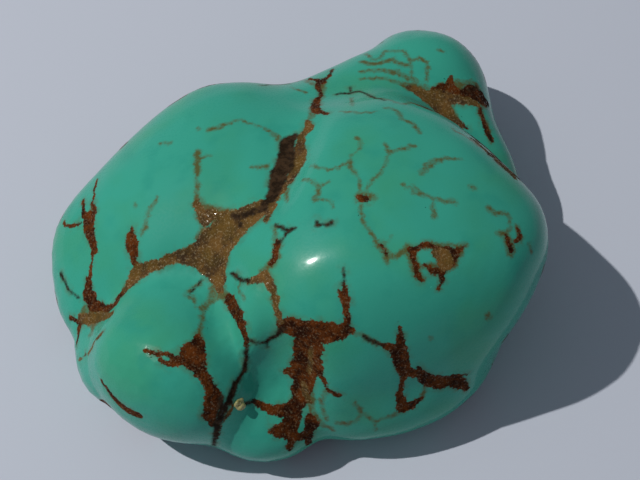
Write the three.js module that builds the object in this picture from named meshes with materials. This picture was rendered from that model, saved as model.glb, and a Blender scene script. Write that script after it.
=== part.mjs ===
// A tumbled turquoise nugget in its brown host rock, about 30 mm wide, lying on its worn underside.
//
// The stone grew and was rounded as one piece, so it is one closed solid. Its form is a cluster of
// soft lobes that run into each other, some planed by wear, with the hollows where the softer host
// rock between the lobes has worn away. Millimetres, +Z up, +X to the right of the broad front slope.
import * as THREE from 'three';
import { mergeVertices } from 'three/addons/utils/BufferGeometryUtils.js';

// Every step shapes what the steps before it have left, like working a lump by hand.
// A lobe is a rounded ellipsoid that is joined on, and a hollow is one that is taken away.
// A face is a plane that wear has cut: its normal points out of the stone.
// The turn is yaw, pitch and roll in degrees, and the blend is the width of the soft join.
const SHAPE = [
  { lobe: 'left flank', centre: [-10, 4.3, 4.4], radii: [10.2, 6.2, 5.2], turn: [47, -8, 0], blend: 2.5 },
  { face: 'top of left flank', point: [-11.6, 1.4, 8.3], normal: [-0.46, 0.12, 0.87], blend: 2.0 },
  { face: 'front of left flank', point: [-12, -0.9, 8.0], normal: [-0.56, -0.32, 0.74], blend: 2.0 },
  { face: 'upper left side', point: [-13.8, 8.0, 5.6], normal: [-0.69, 0.63, 0.3], blend: 2.0 },
  { face: 'left end', point: [-17.4, -1.3, 4.0], normal: [-0.97, -0.2, -0.1], blend: 2.0 },

  { lobe: 'big lobe', centre: [4.5, -0.6, 6.7], radii: [10.8, 11.2, 6.9], turn: [0, 0, 0], blend: 2.5 },
  { face: 'back of big lobe', point: [10.2, 6.2, 8.0], normal: [0.74, 0.66, 0.2], blend: 2.5 },
  { face: 'front slope', point: [2, -7.5, 11.0], normal: [0, -0.76, 0.65], blend: 2.0 },
  { face: 'front wall', point: [3.6, -10.2, 3.0], normal: [0.35, -0.9, 0.2], blend: 3.0 },
  { face: 'right end', point: [13.3, -2.3, 8.0], normal: [0.93, -0.36, -0.05], blend: 2.4 },
  { face: 'undercut right side', point: [11.2, -6.1, 5.7], normal: [0.8, -0.55, -0.33], blend: 1.5 },

  { lobe: 'belly', centre: [0.8, 0.6, 3.0], radii: [9.6, 8.4, 4.2], turn: [20, 0, 0], blend: 1.5 },
  { lobe: 'core', centre: [-4.5, 4.3, 4.8], radii: [9.6, 7.6, 5.4], turn: [35, 0, 0], blend: 2.0 },
  { lobe: 'skirt', centre: [3.4, -5.8, 2.6], radii: [7.0, 4.5, 3.0], turn: [14, 0, 0], blend: 2.0 },

  { lobe: 'knob root', centre: [4.2, 12.2, 4.4], radii: [6.9, 3.9, 4.2], turn: [22, 0, 0], blend: 2.8 },
  { lobe: 'knob tip', centre: [7.6, 14.1, 4.0], radii: [2.9, 3.2, 3.9], turn: [0, 0, 0], blend: 2.0 },
  { lobe: 'knob ridge', centre: [8.6, 11.8, 3.6], radii: [7.4, 2.2, 3.7], turn: [-58, 0, 0], blend: 2.8 },

  { hollow: 'front valley', centre: [-2.5, -9.5, 7.1], radii: [1.7, 3.2, 1.5], turn: [-8, 0, 54], blend: 2.2 },
  { lobe: 'small lobe', centre: [-8.2, -4.9, 4.5], radii: [5.0, 4.7, 3.9], turn: [14, 0, 0], blend: 0.7 },
  { lobe: 'small lobe toe', centre: [-8.65, -7.7, 4.8], radii: [5.0, 3.4, 4.6], turn: [-22, 0, 0], blend: 2.0 },
  { lobe: 'heel', centre: [-12.3, -4.0, 2.6], radii: [2.8, 4.4, 2.6], turn: [-14, 0, 0], blend: 1.0 },
  { lobe: 'foot', centre: [-3.4, -9.4, 2.6], radii: [3.4, 2.5, 2.8], turn: [0, 0, 0], blend: 1.0 },

  { lobe: 'column', centre: [-3.7, -5.3, 8.8], radii: [1.0, 2.4, 1.5], turn: [-10, 0, 36], blend: 0.8 },
  { hollow: 'matrix seam', centre: [-2, 4.2, 12.2], radii: [1.3, 4.8, 1.1], turn: [-14, 0, 0], blend: 1.6 },
  { face: 'worn underside', point: [0, 0, 0], normal: [0, 0, -1], blend: 0.5 },
];

const HEART = [2.0, 3.6, 4.2];   // a point deep in the stone, where the drawing of its surface starts
const REACH = 26;                // further from the heart than any of the surface
const FACETS = 19;               // cuts along each edge of the icosahedron that is drawn onto the stone
const HALVINGS = 12;             // steps of the first search for the surface along each line
const EVENING_ROUNDS = 60;       // rounds that spread the corners evenly over the stone
const PULLS = 2;                 // steps that bring a corner back onto the surface in each round
const PROBE = 0.01;              // how far apart the slope of the distance is measured
const FLATNESS = 0.004;          // the worn underside is dead flat: this close to it is on it
const TURQUOISE = '#33867a';

const toVector = (triple) => new THREE.Vector3(...triple);
const toRadians = THREE.MathUtils.degToRad;

// The smaller of two distances, with a round corner of the given width where they meet.
function softMin(a, b, width) {
  const overlap = Math.max(width - Math.abs(a - b), 0) / width;
  return Math.min(a, b) - (overlap * overlap * width) / 4;
}

// Distance to an ellipsoid, near enough for a soft join: exact on its surface.
function ellipsoidDistance(point, { centre, radii, turn }) {
  const [yaw, pitch, roll] = turn.map(toRadians);
  const local = point.clone().sub(toVector(centre));
  local.applyQuaternion(new THREE.Quaternion().setFromEuler(new THREE.Euler(roll, pitch, yaw, 'ZYX')).invert());
  const radius = toVector(radii);
  const scaled = local.divide(radius);
  const size = scaled.length();
  const slope = scaled.divide(radius).length();
  return (size * (size - 1)) / Math.max(slope, 1e-9);
}

function planeDistance(point, { point: onPlane, normal }) {
  return point.clone().sub(toVector(onPlane)).dot(toVector(normal).normalize());
}

// Below zero inside the stone, above zero outside it.
function stoneDistance(point) {
  return SHAPE.reduce((distance, step) => {
    if (step.lobe) return softMin(distance, ellipsoidDistance(point, step), step.blend);
    if (step.hollow) return -softMin(-distance, ellipsoidDistance(point, step), step.blend);
    return -softMin(-distance, -planeDistance(point, step), step.blend);
  }, Infinity);
}

// The point where a straight line out of the heart leaves the stone.
function surfaceAlong(direction) {
  const heart = toVector(HEART);
  let inside = 0;
  let outside = REACH;
  for (let i = 0; i < HALVINGS; i += 1) {
    const middle = (inside + outside) / 2;
    if (stoneDistance(heart.clone().addScaledVector(direction, middle)) < 0) inside = middle;
    else outside = middle;
  }
  return heart.addScaledVector(direction, inside);
}

// Brings a point near the surface onto it, straight down the slope of the distance.
function pullToSurface(point) {
  for (let i = 0; i < PULLS; i += 1) {
    const distance = stoneDistance(point);
    const slope = new THREE.Vector3(
      stoneDistance(point.clone().setX(point.x + PROBE)) - distance,
      stoneDistance(point.clone().setY(point.y + PROBE)) - distance,
      stoneDistance(point.clone().setZ(point.z + PROBE)) - distance,
    ).divideScalar(PROBE);
    point.addScaledVector(slope, -distance / slope.lengthSq());
  }
  if (Math.abs(point.z) < FLATNESS) point.z = 0;
}

// The corners that share an edge with each corner.
function findNeighbours(index, count) {
  const neighbours = Array.from({ length: count }, () => new Set());
  for (let i = 0; i < index.count; i += 3) {
    const corners = [index.getX(i), index.getX(i + 1), index.getX(i + 2)];
    corners.forEach((corner, k) => neighbours[corner].add(corners[(k + 1) % 3]));
  }
  return neighbours;
}

function makeNugget() {
  const sphere = new THREE.IcosahedronGeometry(1, FACETS);
  sphere.deleteAttribute('normal');
  sphere.deleteAttribute('uv');
  const geometry = mergeVertices(sphere);
  const { position } = geometry.attributes;
  const neighbours = findNeighbours(geometry.index, position.count);
  let corners = neighbours.map((_, i) => surfaceAlong(new THREE.Vector3().fromBufferAttribute(position, i)));
  for (let round = 0; round < EVENING_ROUNDS; round += 1) {
    corners = neighbours.map((around) => {
      const middle = new THREE.Vector3();
      around.forEach((corner) => middle.add(corners[corner]));
      return middle.divideScalar(around.size);
    });
    corners.forEach(pullToSurface);
  }
  corners.forEach((corner, i) => position.setXYZ(i, ...corner.toArray()));

  geometry.computeBoundingBox();
  const middle = geometry.boundingBox.getCenter(new THREE.Vector3());
  geometry.translate(-middle.x, -middle.y, 0);
  geometry.computeVertexNormals();
  const nugget = new THREE.Mesh(geometry, turquoise());
  nugget.name = 'turquoise_nugget';
  return nugget;
}

function turquoise() {
  return new THREE.MeshStandardMaterial({ color: TURQUOISE, roughness: 0.3, metalness: 0 });
}

const stone = new THREE.Group();
stone.add(makeNugget());

export default stone;
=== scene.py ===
"""A tumbled turquoise nugget, seen from above on a pale table. Everything is in metres."""

import math
import random

import bmesh
import bpy
import numpy as np
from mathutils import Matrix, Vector, noise
from mathutils.bvhtree import BVHTree


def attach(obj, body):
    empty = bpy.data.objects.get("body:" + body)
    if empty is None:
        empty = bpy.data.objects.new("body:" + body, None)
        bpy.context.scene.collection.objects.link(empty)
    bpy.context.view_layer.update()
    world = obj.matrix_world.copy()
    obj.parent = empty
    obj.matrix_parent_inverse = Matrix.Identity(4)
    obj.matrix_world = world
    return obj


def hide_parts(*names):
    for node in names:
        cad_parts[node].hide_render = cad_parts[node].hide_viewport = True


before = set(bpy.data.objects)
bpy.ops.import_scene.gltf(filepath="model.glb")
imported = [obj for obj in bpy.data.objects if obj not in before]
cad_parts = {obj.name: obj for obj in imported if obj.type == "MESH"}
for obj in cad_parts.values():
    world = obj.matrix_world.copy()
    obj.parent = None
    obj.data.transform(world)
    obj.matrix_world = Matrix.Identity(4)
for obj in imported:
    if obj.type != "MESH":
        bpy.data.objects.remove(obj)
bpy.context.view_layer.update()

# The camera
# The photograph looks down on the stone from its front. The angle is taken as 60 degrees, and the lens
# as a long one. The picture is 640 by 480 pixels, and one pixel is 0.06 mm wide on the stone.
PIXEL = 0.00006
PICTURE_WIDTH, PICTURE_HEIGHT = 640, 480
CAMERA_ELEVATION = math.radians(60)
LENS_MM, SENSOR_MM = 70, 36
AIM = Vector((0.001748, -0.003262, 0.008))

half_width = PICTURE_WIDTH / 2 * PIXEL
camera_distance = half_width * LENS_MM / (SENSOR_MM / 2)
towards_camera = Vector((0, -math.cos(CAMERA_ELEVATION), math.sin(CAMERA_ELEVATION)))
picture_up = Vector((0, math.sin(CAMERA_ELEVATION), math.cos(CAMERA_ELEVATION)))
picture_right = Vector((1, 0, 0))
eye = AIM + towards_camera * camera_distance

camera = bpy.data.objects.new("camera", bpy.data.cameras.new("camera"))
camera.data.lens = LENS_MM
camera.data.sensor_width = SENSOR_MM
camera.data.clip_start = 0.001
camera.location = eye
camera.rotation_euler = (math.pi / 2 - CAMERA_ELEVATION, 0, 0)
bpy.context.collection.objects.link(camera)
bpy.context.scene.camera = camera


# The stone's surface
# One lump of turquoise, rounded and polished by tumbling. The host rock grown through it is softer,
# so it wears a little deeper, and it stays gritty where the turquoise takes a polish.
MERGE_DISTANCE = 1e-7


def smooth_copy(node, level):
    """A copy of a CAD node's mesh, merged, with its facets rounded away."""
    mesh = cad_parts[node].data.copy()
    bm = bmesh.new()
    bm.from_mesh(mesh)
    bmesh.ops.remove_doubles(bm, verts=bm.verts, dist=MERGE_DISTANCE)
    bm.to_mesh(mesh)
    bm.free()
    mesh.materials.clear()
    draft = bpy.data.objects.new("draft", mesh)
    bpy.context.collection.objects.link(draft)
    rounding = draft.modifiers.new("rounding", "SUBSURF")
    rounding.levels = rounding.render_levels = level
    rounded = bpy.data.meshes.new_from_object(draft.evaluated_get(bpy.context.evaluated_depsgraph_get()))
    bpy.data.objects.remove(draft)
    bm = bmesh.new()
    bm.from_mesh(rounded)
    bmesh.ops.triangulate(bm, faces=bm.faces)
    return bm


stone = smooth_copy("turquoise_nugget", 1)
surface = BVHTree.FromBMesh(stone)


def on_stone(x, y):
    """The point of the stone that shows at a pixel of the photograph."""
    right = (x - PICTURE_WIDTH / 2) * PIXEL
    up = (PICTURE_HEIGHT / 2 - y) * PIXEL
    through = AIM + picture_right * right + picture_up * up
    return surface.ray_cast(eye, (through - eye).normalized())[0]


# The host rock in the stone
# Each route follows one seam, from point to point as the photograph shows it: x, y and width in pixels.
# Rust is iron-stained rock, tan is gritty rock, dark is dark rock with painted shade where it marks a hollow
# or an open crack, olive is a stain, and satin is turquoise that the tumbling has left less polished.
SEAMS = {
    "tan": [
        [(307, 122, 5), (309, 129, 11), (303, 136, 8), (300, 146, 11), (300, 156, 16), (298, 164, 17),
         (294, 173, 13), (288, 183, 8), (280, 192, 9), (272, 200, 12)],
        [(270, 203, 13), (255, 212, 24), (243, 219, 28), (232, 228, 32), (222, 238, 38), (214, 249, 40),
         (212, 258, 38), (216, 268, 26), (220, 279, 15), (220, 290, 9)],
        [(210, 255, 30), (192, 256, 20), (177, 257, 12), (160, 264, 9), (148, 268, 12), (139, 271, 15),
         (133, 280, 11), (126, 290, 8)],
        [(273, 203, 7), (270, 212, 9), (266, 219, 7)],
        [(80, 319, 8), (88, 318, 13), (100, 318, 11), (110, 315, 8)],
        [(101, 333, 4), (98, 337, 3), (88, 353, 2), (78, 360, 2)],
        [(249, 282, 5), (257, 279, 8), (264, 275, 9), (271, 285, 9), (275, 297, 7), (277, 311, 6),
         (281, 322, 7)],
        [(304, 384, 6), (306, 394, 8), (309, 402, 5)],
        [(311, 350, 5), (309, 372, 6)],
        [(233, 407, 3), (225, 419, 3), (217, 435, 3)],
        [(196, 203, 6), (200, 212, 10), (207, 220, 12)],
        [(205, 213, 9), (222, 216, 10), (238, 213, 9)],
        [(410, 88, 7), (424, 95, 14), (437, 100, 24), (442, 110, 24), (450, 119, 15), (462, 126, 6)],
        [(446, 98, 16), (462, 100, 9), (478, 104, 8)],
        [(472, 139, 5), (484, 149, 7), (498, 161, 9), (510, 171, 12), (515, 178, 8)],
        [(437, 253, 9), (444, 257, 15), (446, 264, 14)],
    ],
    "rust": [
        [(148, 121, 2), (141, 127, 4), (134, 134, 5), (126, 142, 4), (117, 152, 3), (112, 157, 1.5)],
        [(97, 179, 1.5), (94, 190, 2), (93, 203, 3), (94, 212, 6)],
        [(84, 200, 2), (83, 209, 4), (84, 214, 8)],
        [(89, 218, 17), (90, 228, 15), (91, 238, 11), (94, 245, 8), (95, 251, 6), (92, 257, 2.5),
         (90, 277, 2.5), (88, 284, 9), (89, 296, 14), (94, 306, 14), (103, 310, 10), (113, 307, 9),
         (120, 297, 8), (127, 288, 5)],
        [(57, 212, 2), (60, 220, 2), (67, 226, 2.5), (80, 224, 3)],
        [(70, 318, 4), (79, 323, 6), (79, 336, 3.5), (76, 346, 2.5)],
        [(131, 226, 2), (130, 236, 9), (131, 244, 14), (132, 251, 10), (134, 262, 6), (137, 272, 6)],
        [(102, 381, 3), (109, 392, 5), (116, 401, 7), (124, 408, 8), (131, 413, 10), (138, 416, 7)],
        [(229, 299, 10), (234, 307, 16), (240, 320, 12), (244, 333, 6), (247, 346, 4.5)],
        [(285, 326, 16), (293, 328, 22), (305, 333, 25), (320, 333, 21), (335, 333, 18), (345, 330, 13),
         (351, 331, 4)],
        [(344, 284, 2.5), (345, 291, 6), (346, 303, 7), (346, 312, 4), (348, 323, 5)],
        [(338, 289, 2), (344, 296, 5)],
        [(308, 346, 30), (307, 360, 29), (303, 372, 30), (303, 384, 23), (301, 395, 18), (297, 404, 14),
         (285, 411, 12), (274, 411, 9), (264, 408, 6), (255, 402, 4)],
        [(300, 369, 10), (285, 371, 5)],
        [(318, 360, 7), (321, 376, 5), (327, 390, 3), (340, 397, 3)],
        [(296, 405, 12), (293, 420, 17), (288, 430, 18), (291, 438, 10), (289, 450, 4)],
        [(290, 428, 14), (280, 431, 12), (272, 431, 7)],
        [(292, 436, 7), (306, 436, 9), (311, 426, 14), (309, 416, 6)],
        [(309, 432, 9), (309, 444, 7)],
        [(383, 345, 4), (391, 348, 8), (399, 350, 15), (402, 362, 16), (404, 371, 10), (418, 374, 9),
         (430, 380, 14), (440, 382, 16), (452, 381, 14), (461, 383, 13), (467, 388, 5)],
        [(400, 328, 2), (400, 340, 7), (399, 350, 12)],
        [(418, 366, 2), (421, 374, 5)],
        [(452, 377, 7), (467, 375, 2)],
        [(405, 372, 7), (402, 383, 4), (400, 395, 6), (403, 408, 13), (413, 405, 9), (421, 399, 4)],
        [(198, 335, 3), (198, 345, 12), (193, 354, 25), (197, 364, 16), (202, 375, 10), (210, 386, 10),
         (214, 395, 13), (213, 406, 17), (210, 417, 12), (212, 424, 5)],
        [(145, 350, 1.5), (151, 353, 2.5), (166, 355, 3), (178, 359, 6)],
        [(160, 360, 2), (167, 364, 4.5), (180, 362, 8)],
        [(437, 92, 12), (450, 88, 14), (452, 77, 3)],
        [(450, 91, 13), (462, 96, 11), (472, 93, 22), (481, 98, 18), (488, 103, 9)],
        [(447, 116, 6), (458, 123, 6), (467, 127, 4)],
        [(480, 109, 4), (484, 124, 4), (488, 134, 6), (491, 140, 5)],
        [(318, 84, 6), (320, 97, 3), (315, 103, 8), (315, 111, 9), (327, 113, 3)],
        [(305, 77, 2), (316, 80, 5), (323, 82, 7), (329, 76, 4), (334, 69, 2)],
        [(411, 250, 6), (415, 263, 3.5), (418, 275, 5), (422, 282, 2)],
        [(411, 249, 4), (428, 245, 2.5), (437, 248, 4), (445, 250, 5), (455, 252, 6), (464, 247, 2)],
        [(423, 265, 2.5), (431, 271, 4), (442, 271, 7), (451, 263, 7), (455, 256, 6)],
        [(443, 271, 6), (441, 284, 3), (438, 290, 1.5)],
        [(360, 198, 6), (366, 199, 6)],
        [(506, 234, 2), (509, 243, 3), (511, 250, 6)],
        [(518, 228, 2), (521, 236, 4), (516, 242, 2)],
        [(522, 328, 5), (518, 339, 4), (514, 348, 2)],
        [(381, 245, 2), (387, 254, 3)],
        [(276, 240, 4), (277, 247, 6), (275, 257, 5), (271, 264, 4)],
    ],
    # dark routes: dark rock, with painted shade where they mark a hollow or an open crack
    "dark_rock_and_shade": [
        [(295, 136, 7), (287, 142, 16), (287, 152, 17), (284, 165, 20), (278, 178, 18), (275, 190, 14),
         (270, 199, 12)],
        [(269, 199, 9), (262, 208, 9), (248, 213, 7), (238, 217, 6)],
        [(233, 214, 5), (238, 220, 6), (241, 227, 5)],
        [(261, 86, 2), (282, 83, 3), (291, 84, 1.5)],
        [(338, 93, 4), (348, 93, 4.5), (360, 92, 3), (372, 97, 2), (385, 101, 1.5)],
        [(350, 86, 1.5), (350, 92, 2.5)],
        [(317, 219, 1.5), (317, 224, 5), (324, 225, 1.5), (331, 223, 4.5)],
        [(276, 225, 3), (282, 228, 4), (289, 230, 4.5), (295, 227, 2)],
        [(289, 230, 3), (282, 239, 2.5), (278, 243, 4)],
        [(61, 275, 5), (64, 281, 3.5), (68, 288, 2), (79, 298, 2)],
        [(247, 346, 4), (246, 360, 5), (244, 371, 5), (238, 381, 6), (233, 391, 9), (229, 402, 8)],
        [(221, 398, 6), (222, 410, 8), (218, 425, 9), (213, 445, 4)],
        [(226, 405, 7), (218, 425, 8)],
        [(247, 339, 3), (256, 343, 3.5), (268, 341, 3.5), (277, 335, 5), (283, 328, 6)],
        [(267, 341, 2), (267, 347, 2)],
        [(255, 402, 4), (246, 403, 4)],
        [(344, 268, 2), (344, 284, 2.5)],
        [(230, 273, 4), (240, 279, 5), (250, 282, 4)],
        [(488, 134, 4), (491, 139, 4)],
        [(189, 295, 1.5), (198, 285, 2), (202, 279, 1.5)],
        [(364, 336, 3), (372, 341, 3.5), (383, 345, 3)],
        [(469, 90, 4), (476, 88, 5)],
    ],
    "olive": [
        [(210, 129, 6), (221, 127, 5), (234, 121, 2), (240, 120, 2), (252, 124, 2), (260, 126, 2),
         (270, 132, 3), (279, 139, 6)],
        [(197, 152, 6), (198, 167, 6), (197, 178, 3.5), (197, 193, 4), (198, 204, 9), (204, 212, 16),
         (214, 215, 15), (226, 216, 12)],
        [(199, 158, 2), (210, 156, 2)],
        [(253, 166, 3), (267, 167, 6)],
        [(197, 211, 6), (203, 225, 8), (198, 238, 4)],
        [(160, 143, 3), (171, 143, 3)],
        [(198, 129, 3), (199, 130, 3)],
        [(158, 198, 3), (149, 211, 4), (145, 227, 4), (140, 235, 3)],
        [(134, 205, 3.5), (136, 207, 3.5)],
        [(291, 87, 1.5), (305, 93, 3)],
        [(282, 84, 4), (305, 80, 4), (320, 86, 10), (320, 98, 7), (315, 106, 12), (311, 118, 6)],
        [(276, 225, 2.5), (275, 239, 4), (277, 244, 8), (276, 256, 8), (271, 265, 7), (262, 272, 8)],
        [(304, 179, 2), (313, 181, 2.5), (319, 187, 3), (318, 193, 4), (314, 199, 3)],
        [(324, 184, 2), (328, 182, 2)],
        [(318, 199, 1.5), (330, 202, 2), (334, 206, 1)],
        [(287, 187, 4), (287, 202, 4)],
        [(310, 165, 2), (318, 168, 2), (328, 170, 2.5), (338, 168, 2.5), (347, 162, 2.5), (354, 153, 2),
         (361, 144, 3), (357, 137, 2)],
        [(350, 158, 2), (351, 168, 4), (359, 179, 2), (359, 190, 2), (362, 197, 13), (375, 197, 6)],
        [(385, 144, 2), (389, 155, 3), (385, 166, 2), (372, 181, 2), (366, 192, 1.5)],
        [(389, 153, 3), (404, 148, 5), (415, 146, 3)],
        [(422, 173, 5), (427, 166, 7), (436, 160, 6), (446, 158, 3), (461, 160, 1.5)],
        [(402, 185, 3), (411, 187, 3), (414, 193, 3), (422, 194, 3.5), (437, 199, 3), (454, 202, 4.5)],
        [(414, 186, 2), (417, 190, 2)],
        [(433, 203, 2), (434, 216, 5)],
        [(471, 186, 4), (475, 188, 4)],
        [(361, 205, 2.5), (362, 220, 2.5), (370, 233, 3), (380, 246, 5), (387, 255, 7), (394, 257, 4),
         (407, 250, 5)],
        [(391, 237, 2), (385, 244, 2.5)],
        [(387, 255, 3), (388, 264, 3)],
        [(408, 249, 10), (414, 263, 9), (420, 277, 8)],
        [(428, 246, 6), (447, 250, 14), (466, 246, 5)],
        [(424, 266, 6), (440, 270, 12), (452, 262, 12), (460, 250, 8)],
        [(442, 272, 7), (439, 289, 4)],
        [(489, 209, 6), (497, 213, 4), (508, 214, 4), (511, 226, 3), (506, 234, 5), (496, 233, 3.5)],
        [(506, 234, 5), (511, 250, 12)],
        [(517, 226, 5), (521, 238, 7)],
        [(530, 246, 4), (532, 251, 4)],
        [(363, 53, 3), (376, 60, 3.5), (385, 51, 3.5), (402, 51, 3.5), (411, 60, 3.5), (420, 58, 3.5),
         (428, 63, 3)],
        [(411, 61, 3), (411, 77, 3), (416, 82, 5)],
        [(428, 63, 3), (427, 79, 3)],
        [(437, 50, 3), (443, 51, 2.5)],
        [(361, 62, 5), (375, 64, 7), (392, 60, 6), (406, 66, 5)],
        [(362, 72, 4), (380, 70, 6), (398, 72, 7), (408, 78, 6)],
        [(362, 79, 3), (380, 78, 3.5), (398, 82, 5), (410, 88, 8)],
        [(404, 84, 8), (424, 92, 18), (440, 104, 26), (452, 118, 16)],
        [(440, 92, 20), (456, 88, 18), (474, 92, 26), (484, 104, 12)],
        [(372, 97, 3), (385, 100, 3.5), (400, 103, 4), (415, 103, 5), (424, 108, 6)],
        [(385, 108, 3), (398, 111, 4), (402, 119, 4), (415, 125, 5), (420, 133, 3)],
        [(340, 111, 2.5), (350, 112, 3), (362, 113, 3), (376, 112, 2)],
        [(350, 98, 3), (352, 106, 3)],
        [(454, 129, 3), (466, 137, 3), (480, 146, 4), (498, 161, 6), (512, 173, 9)],
        [(480, 108, 7), (485, 124, 7), (491, 140, 8)],
        [(352, 332, 3), (364, 336, 4), (372, 341, 5), (384, 346, 5)],
        [(327, 390, 4), (322, 400, 4), (323, 409, 3), (326, 420, 4)],
        [(355, 402, 3.5), (361, 413, 4.5), (355, 421, 3.5), (347, 424, 4.5), (338, 422, 5)],
        [(361, 413, 3), (376, 421, 3.5), (388, 418, 3.5), (398, 413, 5)],
        [(376, 421, 2.5), (376, 430, 2)],
        [(424, 388, 4), (422, 399, 4)],
        [(313, 410, 8), (320, 424, 7), (333, 430, 4)],
        [(306, 384, 10), (310, 396, 12), (312, 408, 6)],
        [(212, 285, 4), (213, 297, 10), (205, 308, 5), (201, 318, 4), (200, 331, 3.5), (199, 340, 5)],
        [(220, 282, 14), (222, 294, 12), (228, 300, 8)],
        [(202, 280, 3), (190, 292, 3), (190, 298, 3)],
        [(192, 296, 2.5), (197, 307, 2.5), (203, 310, 3)],
        [(240, 281, 3), (238, 291, 3), (244, 298, 3)],
        [(86, 312, 16), (96, 322, 12), (90, 336, 5)],
        [(488, 315, 6), (490, 318, 5)],
        [(429, 337, 3), (431, 338, 3)],
        [(533, 303, 4), (528, 314, 3)],
    ],
    "satin": [
        [(120, 195, 60), (150, 215, 80), (190, 225, 70)],
        [(136, 280, 30), (160, 271, 34), (178, 270, 34), (208, 276, 34), (224, 300, 34),
         (232, 340, 40)],
    ],
}
ROUTE_STEP = 4          # pixels between the points where a route is laid on the stone
WANDER = 0.9            # pixels that such a point may stray, because no seam is straight
WANDER_SEED = 7
FAR = 0.002             # no seam matters further away than this
TINY = 1e-14            # keeps a piece of no length from dividing by nothing
AT_ONCE = 2000          # points measured together, to keep the memory small


def lay_route(route, wander):
    """The route as short straight pieces on the stone: starts, ends, and half widths at both."""
    laid = []
    for (x0, y0, width0), (x1, y1, width1) in zip(route, route[1:]):
        steps = max(1, round(math.hypot(x1 - x0, y1 - y0) / ROUTE_STEP))
        reaches_end = (x1, y1) == route[-1][:2]
        for i in range(steps + reaches_end):
            t = i / steps
            x = x0 + (x1 - x0) * t + wander.uniform(-WANDER, WANDER)
            y = y0 + (y1 - y0) * t + wander.uniform(-WANDER, WANDER)
            point = on_stone(x, y)
            if point is not None:
                laid.append((*point, (width0 + (width1 - width0) * t) * PIXEL / 2))
    return [(*a, *b) for a, b in zip(laid, laid[1:])]


wander = random.Random(WANDER_SEED)
laid_seams = {kind: np.array([piece for route in routes for piece in lay_route(route, wander)])
              for kind, routes in SEAMS.items()}


def depth_in_seams(points, pieces):
    """How far each point is inside the nearest seam, or outside it where negative."""
    start, half_start = pieces[:, 0:3], pieces[:, 3]
    along = pieces[:, 4:7] - start
    widening = pieces[:, 7] - half_start
    length_squared = np.maximum((along ** 2).sum(1), TINY)
    result = np.empty(len(points))
    for first in range(0, len(points), AT_ONCE):
        offset = points[first:first + AT_ONCE, None] - start[None]
        t = np.clip((offset * along).sum(2) / length_squared, 0, 1)
        gap = np.linalg.norm(offset - along * t[..., None], axis=2)
        result[first:first + AT_ONCE] = (half_start + widening * t - gap).max(1)
    return np.clip(result, -FAR, FAR)


def points_of(bm):
    return np.array([vert.co for vert in bm.verts])


# Finer triangles where a seam runs, so that its edges are crisp.
COARSE, FINE = 0.0004, 0.00013
NEAR_SEAM = 0.0003
SPLITTING_ROUNDS = 3
all_pieces = np.concatenate([pieces for kind, pieces in laid_seams.items() if kind != "satin"])
for _ in range(SPLITTING_ROUNDS):
    depth = np.abs(depth_in_seams(points_of(stone), all_pieces))
    stone.verts.index_update()
    long_edges = []
    for edge in stone.edges:
        near_seam = min(depth[vert.index] for vert in edge.verts) < NEAR_SEAM
        if edge.calc_length() > (FINE if near_seam else COARSE):
            long_edges.append(edge)
    bmesh.ops.subdivide_edges(stone, edges=long_edges, cuts=1, use_grid_fill=True)
    bmesh.ops.triangulate(stone, faces=[face for face in stone.faces if len(face.verts) > 3])

# The relief of the surface: host rock lies a little lower, and everything is slightly uneven.
RECESS = 0.00008
FULL_DEPTH = 0.0007        # how far inside a seam it reaches its full recess, so thin seams stay shallow
UNEVEN = 0.00005
UNEVEN_SIZE = 0.0022
GRIT = 0.00006
GRIT_SIZE = 0.00035
UNDERSIDE = 0.0003         # below this height the stone keeps its flat, so that it lies still
points = points_of(stone)
depths = {kind: depth_in_seams(points, pieces) for kind, pieces in laid_seams.items()}
rock = np.maximum.reduce([depths["tan"], depths["rust"], depths["dark_rock_and_shade"]])
stone.normal_update()
for vert, inside in zip(stone.verts, rock):
    sunk = min(max(inside / FULL_DEPTH, 0), 1)
    lift = UNEVEN * noise.noise(vert.co / UNEVEN_SIZE) - RECESS * sunk
    lift += GRIT * sunk * noise.noise(vert.co / GRIT_SIZE)
    if vert.co.z > UNDERSIDE:
        vert.co += vert.normal * lift

# Where the photograph doesn't reach, the rock follows a web of its own, and this says where that is.
SHOWN = 0.15               # a surface turned further from the camera than this doesn't count as seen
CLEAR_OF_SURFACE = 0.0002
FADING_ROUNDS = 12
hidden = np.zeros(len(points))
for i, vert in enumerate(stone.verts):
    to_eye = (eye - vert.co).normalized()
    start = vert.co + vert.normal * CLEAR_OF_SURFACE
    if vert.normal.dot(to_eye) < SHOWN or surface.ray_cast(start, to_eye)[0] is not None:
        hidden[i] = 1
edges = np.array([[v.index for v in edge.verts] for edge in stone.edges])
valence = np.bincount(edges.ravel(), minlength=len(points))
for _ in range(FADING_ROUNDS):
    total = np.bincount(edges[:, 0], hidden[edges[:, 1]], len(points))
    total += np.bincount(edges[:, 1], hidden[edges[:, 0]], len(points))
    hidden = (hidden + total) / (1 + valence)

nugget_mesh = bpy.data.meshes.new("turquoise_stone")
stone.to_mesh(nugget_mesh)
stone.free()
nugget_mesh.shade_smooth()
MILLIMETRE = 0.001
for kind, depth in depths.items():
    layer = nugget_mesh.attributes.new(kind, "FLOAT", "POINT")
    layer.data.foreach_set("value", depth / MILLIMETRE)
nugget_mesh.attributes.new("hidden", "FLOAT", "POINT").data.foreach_set("value", hidden)

nugget = bpy.data.objects.new("turquoise_stone", nugget_mesh)
bpy.context.collection.objects.link(nugget)
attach(nugget, "root")
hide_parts("turquoise_nugget")


# Tumbled turquoise in iron-stained host rock
# A dense, waxy blue-green phosphate that takes a soft polish, with gritty brown limonite in its seams.
# The eye gets an even, faintly clouded colour with one small sharp highlight, and dull seams that glint,
# with painted glints on their pale grains and painted shade in their dark hollows and cracks.
def linear(hex_colour):
    """An sRGB hex colour as the linear colour that a shader takes."""
    channels = [int(hex_colour[i:i + 2], 16) / 255 for i in (1, 3, 5)]
    return (*[c / 12.92 if c <= 0.04045 else ((c + 0.055) / 1.055) ** 2.4 for c in channels], 1)


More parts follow.
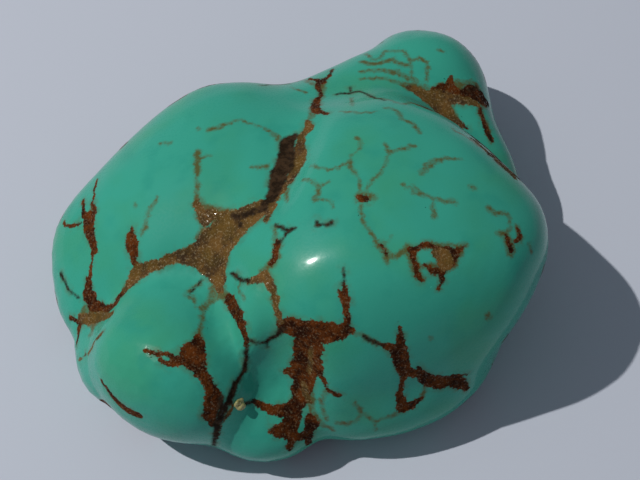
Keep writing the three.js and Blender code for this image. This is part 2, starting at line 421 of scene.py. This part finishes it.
def add_node(tree, kind, settings, inputs):
    """Adds a node with its settings; an input is a value or the output socket that feeds it."""
    node = tree.nodes.new(kind)
    for name, value in settings.items():
        setattr(node, name, value)
    for name, value in inputs.items():
        if isinstance(value, bpy.types.NodeSocket):
            tree.links.new(value, node.inputs[name])
        else:
            node.inputs[name].default_value = value
    return node


material = bpy.data.materials.new("tumbled_turquoise_in_limonite")
material.use_nodes = True
tree = material.node_tree
tree.nodes.clear()
place = add_node(tree, "ShaderNodeTexCoord", {}, {}).outputs["Object"]


def speckle(size_mm, detail=2.0, roughness=0.5):
    """Noise from 0 to 1 whose lumps are about as wide as the size given."""
    scale = 1 / (size_mm * MILLIMETRE)
    node = add_node(tree, "ShaderNodeTexNoise", {}, {
        "Vector": place, "Scale": scale, "Detail": detail, "Roughness": roughness})
    return node.outputs["Fac"]


def calculate(operation, first, second=0.5, third=0.5):
    node = add_node(tree, "ShaderNodeMath", {"operation": operation}, {0: first, 1: second, 2: third})
    return node.outputs["Value"]


def ramp(value, low, high):
    """0 below low, 1 above high, and a smooth rise between."""
    node = add_node(tree, "ShaderNodeMapRange", {"interpolation_type": "SMOOTHSTEP"}, {
        "Value": value, "From Min": low, "From Max": high})
    return node.outputs["Result"]


def blend_colours(amount, under, over):
    """One colour over another; the Mix node's colour sockets share their names, so they go by number."""
    node = add_node(tree, "ShaderNodeMix", {"data_type": "RGBA"}, {0: amount, 6: under, 7: over})
    return node.outputs[2]


def depth_of(kind):
    return add_node(tree, "ShaderNodeAttribute", {"attribute_name": kind}, {}).outputs["Fac"]


# Ragged edges: the depth in a seam, give or take the grain of the stone.
ragged = calculate("SUBTRACT", speckle(0.45, 4.0, 0.65), 0.48)
fine_ragged = calculate("SUBTRACT", speckle(0.12, 2.0, 0.5), 0.5)
edge_wobble = calculate("ADD", calculate("MULTIPLY", ragged, 0.50), calculate("MULTIPLY", fine_ragged, 0.22))

# The web on the sides that the photograph doesn't show: cells about 5 mm across, with seams between.
CELL_MM, BEND_MM, BEND_DEPTH = 5.0, 2.6, 0.0028
warp = add_node(tree, "ShaderNodeTexNoise", {}, {
    "Vector": place, "Scale": 1 / (BEND_MM * MILLIMETRE), "Detail": 3.0})
shift = add_node(tree, "ShaderNodeVectorMath", {"operation": "MULTIPLY_ADD"}, {
    0: warp.outputs["Color"], 1: (BEND_DEPTH, BEND_DEPTH, BEND_DEPTH), 2: place})
cells = add_node(tree, "ShaderNodeTexVoronoi", {"feature": "DISTANCE_TO_EDGE"}, {
    "Vector": shift.outputs["Vector"], "Scale": 1 / (CELL_MM * MILLIMETRE)})
cell_edge = calculate("MULTIPLY", cells.outputs["Distance"], CELL_MM)
seam_width = calculate("MULTIPLY_ADD", ramp(speckle(3.5, 2.0), 0.42, 0.68), 0.75, -0.10)
web_depth = calculate("SUBTRACT", seam_width, cell_edge)
unseen = ramp(depth_of("hidden"), 0.25, 0.75)
web_depth = calculate("MULTIPLY_ADD", calculate("SUBTRACT", unseen, 1.0), 3.0, web_depth)

# Each kind of rock starts where its depth in millimetres, ragged edge and all, passes about zero.
tan_depth = calculate("ADD", depth_of("tan"), edge_wobble)
rust_depth = calculate("ADD", calculate("MAXIMUM", depth_of("rust"), web_depth), edge_wobble)
dark_and_shade_depth = calculate("ADD", depth_of("dark_rock_and_shade"), calculate("MULTIPLY", edge_wobble, 0.7))
olive_depth = calculate("ADD", depth_of("olive"), edge_wobble)

tan = ramp(tan_depth, -0.08, 0.05)
rust = ramp(rust_depth, -0.08, 0.02)
# the dark mask also lays painted shade where hollows and cracks lie
dark_rock_and_shade = ramp(dark_and_shade_depth, -0.12, 0.12)
olive = ramp(olive_depth, -0.15, 0.14)

TURQUOISE, GREENER, DEEPER = linear("#3aa38d"), linear("#3d9c7a"), linear("#2a9482")
TAN_LIGHT, TAN_DARK = linear("#72532a"), linear("#413020")
RUST_LIGHT, RUST_DARK = linear("#64330f"), linear("#2a1105")
# DARK_ROCK_AND_SHADE is dark rock with painted shade in it, for hollows and cracks that lie in shade
DARK_ROCK_AND_SHADE, OLIVE_STAIN, OCHRE = linear("#261b10"), linear("#5a4f1c"), linear("#5c4a1c")
# PALE_GRAIN_AND_GLINT is pale grit with painted glints: pale specks where grains catch the light
PALE_GRAIN_AND_GLINT = linear("#b8a27c")

# The colour: turquoise in two slow clouds, then the stains, then the rock over them, with painted glints
# on its pale grains and painted shade in its dark hollows and cracks.
green = ramp(speckle(6.0, 3.0), 0.45, 0.70)
deep = ramp(speckle(2.0, 4.0), 0.50, 0.75)
colour = blend_colours(calculate("MULTIPLY", green, 0.8), TURQUOISE, GREENER)
colour = blend_colours(calculate("MULTIPLY", deep, 0.5), colour, DEEPER)
any_rock = calculate("MAXIMUM", calculate("MAXIMUM", tan_depth, rust_depth), dark_and_shade_depth)
halo = calculate("MULTIPLY", ramp(any_rock, -0.45, 0.0), 0.45)
colour = blend_colours(calculate("MULTIPLY", halo, ramp(speckle(0.8, 2.0), 0.4, 0.7)), colour, OLIVE_STAIN)
faded = calculate("MULTIPLY_ADD", ramp(speckle(0.5, 3.0, 0.6), 0.38, 0.60), 0.45, 0.45)
colour = blend_colours(calculate("MULTIPLY", olive, faded), colour, OLIVE_STAIN)
patchy = ramp(speckle(1.3, 3.0, 0.6), 0.42, 0.62)
# grit grains: their pale colour is partly painted glint, and they also set the rock's gloss
grains_and_glints = ramp(speckle(0.13, 2.0, 0.7), 0.52, 0.70)
tan_colour = blend_colours(ramp(speckle(1.0, 5.0, 0.75), 0.36, 0.62), TAN_DARK, TAN_LIGHT)
tan_colour = blend_colours(calculate("MULTIPLY", patchy, 0.45), tan_colour, OCHRE)
tan_colour = blend_colours(calculate("MULTIPLY", grains_and_glints, 0.4), tan_colour, PALE_GRAIN_AND_GLINT)
rust_colour = blend_colours(ramp(speckle(0.9, 5.0, 0.75), 0.38, 0.64), RUST_DARK, RUST_LIGHT)
rust_colour = blend_colours(calculate("MULTIPLY", grains_and_glints, 0.2), rust_colour, PALE_GRAIN_AND_GLINT)
colour = blend_colours(rust, colour, rust_colour)
colour = blend_colours(tan, colour, tan_colour)
# dark rock, partly painted shade of hollows and cracks, varied with dark tan
dark_and_shade_colour = blend_colours(ramp(speckle(0.5, 4.0, 0.7), 0.42, 0.62), DARK_ROCK_AND_SHADE, TAN_DARK)
colour = blend_colours(dark_rock_and_shade, colour, dark_and_shade_colour)

# The finish: turquoise has a thin polish, host rock is matt, and a few of its grains glint.
rock_cover = calculate("MAXIMUM", calculate("MAXIMUM", tan, rust), dark_rock_and_shade)
satin = ramp(depth_of("satin"), -1.2, 0.6)
gloss = calculate("MULTIPLY_ADD", ramp(speckle(0.15, 2.0), 0.35, 0.70), 0.08, 0.26)
gloss = calculate("MULTIPLY_ADD", satin, 0.22, gloss)
rock_gloss = calculate("MULTIPLY_ADD", grains_and_glints, -0.55, 0.85)
roughness = add_node(tree, "ShaderNodeMix", {}, {0: rock_cover, 2: gloss, 3: rock_gloss}).outputs[0]
polish = calculate("MULTIPLY_ADD", satin, -0.4, 0.4)
polished = calculate("MULTIPLY", calculate("SUBTRACT", 1.0, rock_cover), polish)
glinting_grains = calculate("MULTIPLY", rock_cover, ramp(grains_and_glints, 0.6, 1.0))
coat = calculate("ADD", polished, glinting_grains)

polish_ripple = add_node(tree, "ShaderNodeBump", {}, {
    "Strength": 0.25, "Distance": 0.00002, "Height": speckle(0.25, 3.0, 0.7)})
grit = add_node(tree, "ShaderNodeBump", {}, {
    "Strength": rock_cover, "Distance": 0.00006, "Height": speckle(0.16, 3.0, 0.7),
    "Normal": polish_ripple.outputs["Normal"]})

shader = add_node(tree, "ShaderNodeBsdfPrincipled", {}, {
    "Base Color": colour, "Roughness": roughness, "Normal": grit.outputs["Normal"], "IOR": 1.5,
    "Specular IOR Level": 0.07, "Coat Weight": coat, "Coat IOR": 1.3, "Coat Roughness": 0.1})
add_node(tree, "ShaderNodeOutputMaterial", {}, {"Surface": shader.outputs["BSDF"]})
nugget_mesh.materials.append(material)


# The sand grain in the valley
# One grain of yellowish quartz sand, about 0.6 mm wide, caught in the open crack beside the foot and
# held there by the rock dust that fills the crack.
GRAIN_RADIUS = 0.0003
GRAIN_PIXEL = (239, 404)
GRAIN_ROUGHNESS = 0.9      # share of the radius by which its surface strays
bm = bmesh.new()
bmesh.ops.create_icosphere(bm, subdivisions=4, radius=GRAIN_RADIUS)
for vert in bm.verts:
    vert.co *= 1 + GRAIN_ROUGHNESS * noise.noise(vert.co / GRAIN_RADIUS)
bmesh.ops.translate(bm, verts=bm.verts, vec=on_stone(*GRAIN_PIXEL))
grain_mesh = bpy.data.meshes.new("sand_grain")
bm.to_mesh(grain_mesh)
bm.free()
grain_mesh.shade_smooth()
grain = bpy.data.objects.new("sand_grain", grain_mesh)
bpy.context.collection.objects.link(grain)
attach(grain, "root")

# Quartz sand is a rolled, cloudy grain, so it gives the eye a soft pale yellow spot that lets light in.
quartz = bpy.data.materials.new("yellow_quartz_sand")
quartz.use_nodes = True
quartz.node_tree.nodes.clear()
quartz_place = add_node(quartz.node_tree, "ShaderNodeTexCoord", {}, {}).outputs["Object"]
quartz_cloud = add_node(quartz.node_tree, "ShaderNodeTexNoise", {}, {
    "Vector": quartz_place, "Scale": 1 / (0.2 * MILLIMETRE), "Detail": 3.0}).outputs["Fac"]
quartz_colour = add_node(quartz.node_tree, "ShaderNodeMix", {"data_type": "RGBA"}, {
    0: quartz_cloud, 6: linear("#6b6a2c"), 7: linear("#c9c08a")}).outputs[2]
quartz_shader = add_node(quartz.node_tree, "ShaderNodeBsdfPrincipled", {}, {
    "Base Color": quartz_colour, "Roughness": 0.35, "Subsurface Weight": 0.2,
    "Subsurface Radius": (1, 0.8, 0.4), "Subsurface Scale": GRAIN_RADIUS})
add_node(quartz.node_tree, "ShaderNodeOutputMaterial", {}, {"Surface": quartz_shader.outputs["BSDF"]})
grain_mesh.materials.append(quartz)


# The table and the light
# A plain pale sheet under the stone, a small lamp high on the left, and a faint cool fill from the room.
FLOOR_SIZE = 0.6
FLOOR_COLOUR = linear("#c9cedb")
bm = bmesh.new()
bmesh.ops.create_grid(bm, x_segments=1, y_segments=1, size=FLOOR_SIZE / 2)
floor_mesh = bpy.data.meshes.new("floor")
bm.to_mesh(floor_mesh)
bm.free()
floor = bpy.data.objects.new("floor", floor_mesh)
bpy.context.collection.objects.link(floor)
# Matt paper gives the eye a plain cool grey-white with no shine.
paper = bpy.data.materials.new("matt_paper")
paper.use_nodes = True
paper.node_tree.nodes.clear()
paper_shader = add_node(paper.node_tree, "ShaderNodeBsdfPrincipled", {}, {
    "Base Color": FLOOR_COLOUR, "Roughness": 0.9})
add_node(paper.node_tree, "ShaderNodeOutputMaterial", {}, {"Surface": paper_shader.outputs["BSDF"]})
floor_mesh.materials.append(paper)

KEY_DIRECTION = Vector((-0.72, 0.06, 1)).normalized()
KEY_DISTANCE, KEY_SIZE = 0.4, 0.006
KEY_POWER = 1.14
KEY_COLOUR = (1.0, 0.98, 0.95)
key_light = bpy.data.lights.new("key", "AREA")
key_light.shape = "DISK"
key_light.size = KEY_SIZE
key_light.energy = KEY_POWER
key_light.color = KEY_COLOUR
key = bpy.data.objects.new("key", key_light)
key.location = AIM + KEY_DIRECTION * KEY_DISTANCE
key.rotation_euler = KEY_DIRECTION.to_track_quat("Z", "Y").to_euler()
bpy.context.collection.objects.link(key)

ROOM_COLOUR, ROOM_STRENGTH = (0.78, 0.88, 1.0, 1), 0.19
world = bpy.data.worlds.new("room")
world.use_nodes = True
room = world.node_tree.nodes["Background"]
room.inputs["Color"].default_value = ROOM_COLOUR
room.inputs["Strength"].default_value = ROOM_STRENGTH
bpy.context.scene.world = world
bpy.context.scene.view_settings.view_transform = "Standard"
